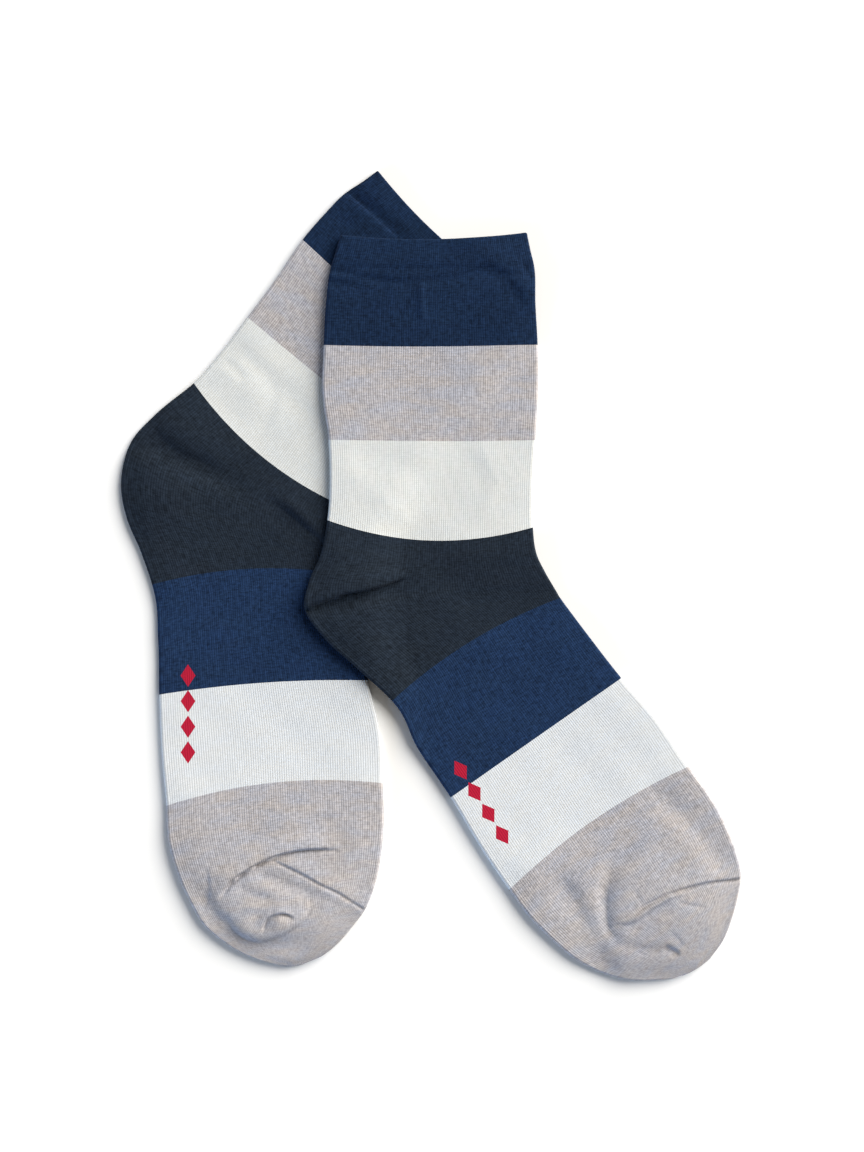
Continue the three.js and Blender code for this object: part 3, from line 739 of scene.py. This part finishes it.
def close_tip(points, f, s):
    """More rings that round the toe off: each reaches on by an angle's sine and is flatter by its cosine.

    The reach is greatest midway and falls with 4f(1 − f) to a small share at the side folds: the end bows.
    """
    last = points[-1]
    centre, back = last.mean(0), points[-3].mean(0)
    pace = (centre - back) * (1, 1, 0)
    pace /= np.hypot(*pace[:2])
    middle = (last[:, 2].max() + last[:, 2].min()) / 2
    bowed = TIP_ENDS + (1 - TIP_ENDS) * 4 * f[-1] * (1 - f[-1])
    more = [points]
    for turn in np.linspace(0, np.pi / 2, TIP_TURNS + 1)[1:]:
        ring = last + pace * (TIP_ROUND * math.sin(turn) * bowed)[:, None]
        ring[:, 2] = middle + (last[:, 2] - middle) * max(math.cos(turn), TIP_LEAST)
        more.append(ring[None])
    f = np.concatenate((f, np.repeat(f[-1:], TIP_TURNS, 0)))
    s = np.concatenate((s, s[-1:] + np.linspace(0, TIP_ROUND, TIP_TURNS + 1)[1:, None]))
    return np.concatenate(more), f, s


def add_node(tree, kind, settings=None, inputs=None):
    """Adds a node, sets its settings, links each input that is given a socket and sets the others."""
    node = tree.nodes.new(kind)
    for key, value in (settings or {}).items():
        setattr(node, key, value)
    for key, value in (inputs or {}).items():
        if isinstance(value, bpy.types.NodeSocket):
            tree.links.new(value, node.inputs[key])
        else:
            node.inputs[key].default_value = value
    return node


def speckle(tree, knit, across, along, detail, roughness):
    """Uneven dye: noise in patches so many millimetres wide across the wales and so many long."""
    place = add_node(tree, "ShaderNodeMapping", inputs={"Vector": knit, "Scale": (1 / across, 1 / along, 1)})
    noise = {"Vector": place.outputs[0], "Scale": 1.0, "Detail": detail, "Roughness": roughness}
    return add_node(tree, "ShaderNodeTexNoise", {"noise_dimensions": "2D"}, noise).outputs["Fac"]


def jersey(name, light, dark, contrast, drift, between, cloth, lozenge=None):
    """Combed cotton jersey, plain-knitted and unbrushed: soft and matt, with wales a millimetre apart that
    read as fine upright lines, painted shade between the stitches and a little painted light on their
    crowns, and fibres that catch a pale rim of light.

    light and dark are the marl's two colours, contrast is how far they mix, drift how far a lot's tint is
    off the mean, between how dark the painted shade in the gap between two wales is, and lozenge the colour
    of a row of them.
    """
    material = bpy.data.materials.new(name)
    material.use_nodes = True
    tree = material.node_tree
    tree.nodes.clear()
    wale, course = cloth.wale / MM, cloth.course / MM
    knit = add_node(tree, "ShaderNodeUVMap", {"uv_map": "knit"}).outputs["UV"]
    place = add_node(tree, "ShaderNodeSeparateXYZ", inputs={0: knit}).outputs
    wales = add_node(tree, MATH, MULTIPLY, {0: place["X"], 1: 1 / wale})
    courses = add_node(tree, MATH, MULTIPLY, {0: place["Y"], 1: 1 / course})
    # nought between two wales, a half on the middle of one
    beat = add_node(tree, MATH, PINGPONG, {0: wales.outputs[0], 1: 0.5})
    # both legs of a stitch slant down to its middle
    slant = add_node(tree, MATH, MULTIPLY_ADD, {0: beat.outputs[0], 1: STITCH_SLANT, 2: courses.outputs[0]})
    leg = add_node(tree, MATH, PINGPONG, {0: slant.outputs[0], 1: 0.5})
    relief, least = LEG_RELIEF
    rung = add_node(tree, MATH, MULTIPLY_ADD, {0: leg.outputs[0], 1: relief, 2: least})
    crown = add_node(
        tree,
        MAP_RANGE,
        {"interpolation_type": "SMOOTHSTEP"},
        {"Value": beat.outputs[0], "From Min": 0.0, "From Max": 0.3, "To Min": 0.0, "To Max": 1.0},
    )
    stitch = add_node(tree, MATH, MULTIPLY, {0: crown.outputs[0], 1: rung.outputs[0]}).outputs[0]
    # paler and darker fibre: streaks 3 mm long and a course high, ribs a wale wide and 4 mm long, and patches
    streaks = speckle(tree, knit, 3.0, course, 2.0, 0.6)
    ribs = speckle(tree, knit, wale, 4.0, 3.0, 0.7)
    body = add_node(tree, "ShaderNodeTexCoord").outputs["Object"]
    patches = add_node(tree, "ShaderNodeTexNoise", inputs={"Vector": body, "Scale": 45.0, "Detail": 2.0})
    both = add_node(tree, MATH, {"operation": "ADD"}, {0: streaks, 1: ribs})
    shares = {0: patches.outputs["Fac"], 1: PATCH_SHARE, 2: both.outputs[0]}
    spread = add_node(tree, MATH, MULTIPLY_ADD, shares)
    span = {"From Min": MARL_MIDDLE - contrast, "From Max": MARL_MIDDLE + contrast}
    marl = add_node(tree, MAP_RANGE, inputs={"Value": spread.outputs[0], **span})
    colours = {"Factor": marl.outputs[0], "A": (*dark, 1), "B": (*light, 1)}
    yarn = add_node(tree, MIX, COLOUR, colours).outputs["Result"]
    # slow bands where one dye lot is a little warmer than the next, 16 mm long and 5 mm high
    lots = speckle(tree, knit, 16.0, 5.0, 2.0, 0.5)
    lot_share = add_node(tree, MAP_RANGE, inputs={"Value": lots, "From Min": 0.3, "From Max": 0.7})
    cool, warm = (tuple(1 + drift * (c - 1) for c in lot) for lot in (COOL_LOT, WARM_LOT))
    tint = add_node(tree, MIX, COLOUR, {"Factor": lot_share.outputs[0], "A": cool, "B": warm})
    yarn = add_node(tree, VECTOR_MATH, MULTIPLY, {0: yarn, 1: tint.outputs["Result"]}).outputs[0]
    if lozenge:
        yarn = knitted_lozenges(tree, yarn, lozenge)
    # painted shade and light: the colour darkens into the gap between two wales and grows a little paler on a
    # stitch's crown
    shade = add_node(tree, MAP_RANGE, inputs={"Value": stitch, "To Min": between, "To Max": 1.08})
    colour = add_node(tree, VECTOR_MATH, {"operation": "SCALE"}, {0: yarn, "Scale": shade.outputs[0]})
    bump = add_node(tree, "ShaderNodeBump", inputs={"Height": stitch, "Strength": 0.55, "Distance": 0.00018})
    shader = add_node(
        tree,
        "ShaderNodeBsdfPrincipled",
        inputs={
            "Base Color": colour.outputs[0],
            "Roughness": 0.95,
            "IOR": 1.5,
            "Specular IOR Level": 0.06,
            "Sheen Weight": 0.03,
            "Sheen Roughness": 0.5,
            "Normal": bump.outputs[0],
        },
    )
    add_node(tree, "ShaderNodeOutputMaterial", inputs={"Surface": shader.outputs[0]})
    return material


def knitted_lozenges(tree, yarn, colour):
    """Mixes in a row of four plain lozenges: coloured where a point's distances from the nearest middle, as
    shares of the half length and the half width, add up to less than one."""
    half_length, half_width = LOZENGE_HALF
    row = add_node(tree, "ShaderNodeUVMap", {"uv_map": "row"}).outputs[0]
    place = add_node(tree, "ShaderNodeSeparateXYZ", inputs={0: row}).outputs
    along = add_node(tree, MATH, PINGPONG, {0: place["X"], 1: LOZENGE_GAP / 2})
    across = add_node(tree, MATH, {"operation": "ABSOLUTE"}, {0: place["Y"]})
    share = add_node(tree, MATH, MULTIPLY, {0: along.outputs[0], 1: 1 / half_length})
    total = add_node(tree, MATH, MULTIPLY_ADD, {0: across.outputs[0], 1: 1 / half_width, 2: share.outputs[0]})
    within = add_node(tree, MATH, {"operation": "LESS_THAN"}, {0: total.outputs[0], 1: 1.0})
    # how far from the row's middle the row goes on
    reach = {0: place["X"], 1: LOZENGE_GAP * LOZENGE_GAPS / 2, 2: LOZENGE_GAP * (LOZENGE_GAPS + 1) / 2}
    in_row = add_node(tree, MATH, {"operation": "COMPARE"}, reach)
    mask = add_node(tree, MATH, MULTIPLY, {0: within.outputs[0], 1: in_row.outputs[0]})
    mixed = {"Factor": mask.outputs[0], "A": yarn, "B": (*colour, 1)}
    return add_node(tree, MIX, COLOUR, mixed).outputs["Result"]


def length(name, description, default):
    """A setting in metres, shown to a hundredth of a millimetre."""
    return bpy.props.FloatProperty(
        name=name, description=description, default=default, unit="LENGTH", precision=5
    )


def dye(name, description, colour):
    """A setting for a yarn's colour, given in sRGB."""
    return bpy.props.FloatVectorProperty(
        name=name, description=description, subtype="COLOR", default=to_linear(colour)
    )


class SockCloth(bpy.types.PropertyGroup):
    """Sizes of the knitted cloth."""

    wall: length("Wall", "Thickness of the single jersey", 0.0011)
    welt_wall: length("Welt", "Thickness of the doubled welt", 0.00125)
    fold_radius: length("Side fold", "Radius of a side fold's round", 0.0013)
    wale: length("Wale", "Width of a column of stitches", 0.00095)
    course: length("Course", "Height of a row of stitches", 0.0007)


class SockYarns(bpy.types.PropertyGroup):
    """Colours of the yarns, linear."""

    # the welt and cuff navy and the foot navy are one yarn; the foot's paler tone is painted light
    navy: dye("Navy", "Welt and cuff", "172841")
    foot_navy: dye("Foot navy", "Foot band", "1D304D")
    taupe: dye("Taupe", "Leg band and toe", "B7B4B6")
    off_white: dye("Off-white", "Leg band", "D4D6D3")
    foot_white: dye("Foot off-white", "Foot band", "D5D8D9")
    charcoal: dye("Charcoal", "Heel", "212933")
    red: dye("Red", "Lozenges", "B01E37")


class SockStage(bpy.types.PropertyGroup):
    """The view and the light."""

    view_height: length("View", "Height of the frame at the socks", 0.4822)
    key: bpy.props.FloatProperty(name="Key", description="Strength of the warm key light", default=6.2)
    fill: bpy.props.FloatProperty(name="Fill", description="Strength of the cool fill light", default=2.1)
    sky: bpy.props.FloatProperty(name="Sky", description="Strength of the light all round", default=0.19)


def yarn_materials(context):
    """The four jerseys of the cuff, leg, heel and toe, and the two of the foot, made once."""
    cloth, yarns = context.scene.sock_cloth, context.scene.sock_yarns
    # share of the colour that the dark and the pale fibres have, how far they mix, how far a lot drifts, and
    # how dark the painted shade between two wales is
    marl = {
        "navy": (0.55, 1.52, 0.34, 0.5, 0.72),
        "taupe": (0.73, 1.2, 0.32, 1.1, 0.6),
        "off_white": (0.92, 1.05, 0.34, 0.25, 0.8),
        "charcoal": (0.56, 1.5, 0.34, 0.5, 0.72),
    }
    made = {}
    for lot in (*marl, *FOOT_YARN_COPIES):
        yarn = FOOT_YARN_COPIES.get(lot, lot)
        low, high, contrast, drift, between = marl[yarn]
        colour = np.array(getattr(yarns, lot))
        name = f"combed cotton jersey, {yarn.replace('_', '-')}"
        if lot in FOOT_YARN_COPIES:
            name += " with lozenges"
        args = (tuple(colour * high), tuple(colour * low), contrast, drift, between, cloth)
        lozenge = tuple(yarns.red) if lot in FOOT_YARN_COPIES else None
        made[lot] = bpy.data.materials.get(name) or jersey(name, *args, lozenge)
    return made


def knit_sock(context, sock):
    """Makes a sock's eight sections, gives each its jersey, hangs it on the root body and hides the frame's
    part it stands for.
    """
    materials = yarn_materials(context)
    for section in SECTIONS:
        name, first, last, yarn, _ = section
        piece = knit_section(sock, section, context.scene.sock_cloth)
        flat, area = sock.plan.cut(first, last)
        piece.data.materials.append(materials[name if name in FOOT_YARN_COPIES else yarn])
        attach(piece, "root")
        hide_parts(f"{sock.name}_{name}")


class KnitLowerSock(bpy.types.Operator):
    """Knits the lower sock of the pair, which lies on the floor"""

    bl_idname = "socks.knit_lower"
    bl_label = "Knit lower sock"

    def execute(self, context):
        knit_sock(context, LOWER)
        return {"FINISHED"}


class KnitUpperSock(bpy.types.Operator):
    """Knits the upper sock of the pair, which lies across the leg of the lower one"""

    bl_idname = "socks.knit_upper"
    bl_label = "Knit upper sock"

    def execute(self, context):
        knit_sock(context, UPPER)
        return {"FINISHED"}


class SetStage(bpy.types.Operator):
    """Lays a pale floor, and sets soft light and a camera that looks straight down"""

    bl_idname = "socks.set_stage"
    bl_label = "Set stage"

    def execute(self, context):
        scene, stage = context.scene, context.scene.sock_stage
        scene.view_settings.view_transform = "Standard"
        add_floor(scene)
        add_sun(scene, "key", (0.62, 0.5, 0.44), stage.key, (1.0, 0.98, 0.955), 56)
        add_sun(scene, "fill", (-0.7, -0.6, 0.19), stage.fill, (0.44, 0.65, 1.0), 30)
        world = bpy.data.worlds.new("soft sky")
        world.use_nodes = True
        sky = world.node_tree.nodes["Background"]
        sky.inputs["Color"].default_value = (1.0, 0.95, 0.88, 1)
        sky.inputs["Strength"].default_value = stage.sky
        scene.world = world
        add_camera(scene, stage.view_height)
        return {"FINISHED"}


def add_floor(scene):
    """A pale matt floor, wide enough to fill every view."""
    half = 4.0
    corners = [(-half, -half, 0), (half, -half, 0), (half, half, 0), (-half, half, 0)]
    mesh = bpy.data.meshes.new("floor")
    mesh.from_pydata(corners, [], [(0, 1, 2, 3)])
    floor = bpy.data.objects.new("floor", mesh)
    scene.collection.objects.link(floor)
    material = bpy.data.materials.new("white paper")
    material.use_nodes = True
    shader = material.node_tree.nodes["Principled BSDF"]
    shader.inputs["Base Color"].default_value = (0.93, 0.925, 0.905, 1)
    shader.inputs["Roughness"].default_value = 1.0
    shader.inputs["Specular IOR Level"].default_value = 0.0
    mesh.materials.append(material)


def add_sun(scene, name, towards, strength, colour, spread):
    """A sun that shines from the direction towards, with a soft edge of spread degrees."""
    light = bpy.data.lights.new(name, "SUN")
    light.energy = strength
    light.color = colour
    light.angle = math.radians(spread)
    lamp = bpy.data.objects.new(name, light)
    lamp.rotation_euler = (-Vector(towards)).to_track_quat("-Z", "Y").to_euler()
    scene.collection.objects.link(lamp)


def add_camera(scene, view_height):
    """A camera straight above the plan's zero, as far up as its lens needs for the view's height."""
    data = bpy.data.cameras.new("camera")
    data.lens = 85
    data.sensor_fit = "VERTICAL"
    data.sensor_height = 36
    camera = bpy.data.objects.new("camera", data)
    focus = 2.5 * MM
    distance = view_height * data.lens / data.sensor_height
    x, y = (VIEW_MIDDLE[i] - PLAN_MIDDLE[i] for i in (0, 1))
    camera.location = (x * MM, y * MM, focus + distance)
    scene.collection.objects.link(camera)
    scene.camera = camera


class SocksPanel(bpy.types.Panel):
    """Lists the steps and the sizes of the pair"""

    bl_idname = "VIEW3D_PT_socks"
    bl_label = "Pair of crew socks"
    bl_space_type = "VIEW_3D"
    bl_region_type = "UI"
    bl_category = "Socks"

    def draw(self, context):
        layout = self.layout
        for operator in (KnitLowerSock, KnitUpperSock, SetStage):
            layout.operator(operator.bl_idname)
        for group in (context.scene.sock_cloth, context.scene.sock_yarns, context.scene.sock_stage):
            box = layout.box()
            for key in group.bl_rna.properties.keys():
                if key not in ("rna_type", "name"):
                    box.prop(group, key)


CLASSES = (SockCloth, SockYarns, SockStage, KnitLowerSock, KnitUpperSock, SetStage, SocksPanel)


def register():
    """Registers the classes and hangs the settings on the scene."""
    for cls in CLASSES:
        bpy.utils.register_class(cls)
    bpy.types.Scene.sock_cloth = bpy.props.PointerProperty(type=SockCloth)
    bpy.types.Scene.sock_yarns = bpy.props.PointerProperty(type=SockYarns)
    bpy.types.Scene.sock_stage = bpy.props.PointerProperty(type=SockStage)


def unregister():
    """Takes the settings off the scene and unregisters the classes."""
    del bpy.types.Scene.sock_stage
    del bpy.types.Scene.sock_yarns
    del bpy.types.Scene.sock_cloth
    for cls in reversed(CLASSES):
        bpy.utils.unregister_class(cls)


def main():
    register()
    bpy.ops.socks.knit_lower()
    bpy.ops.socks.knit_upper()
    bpy.ops.socks.set_stage()


if __name__ == "__main__":
    main()
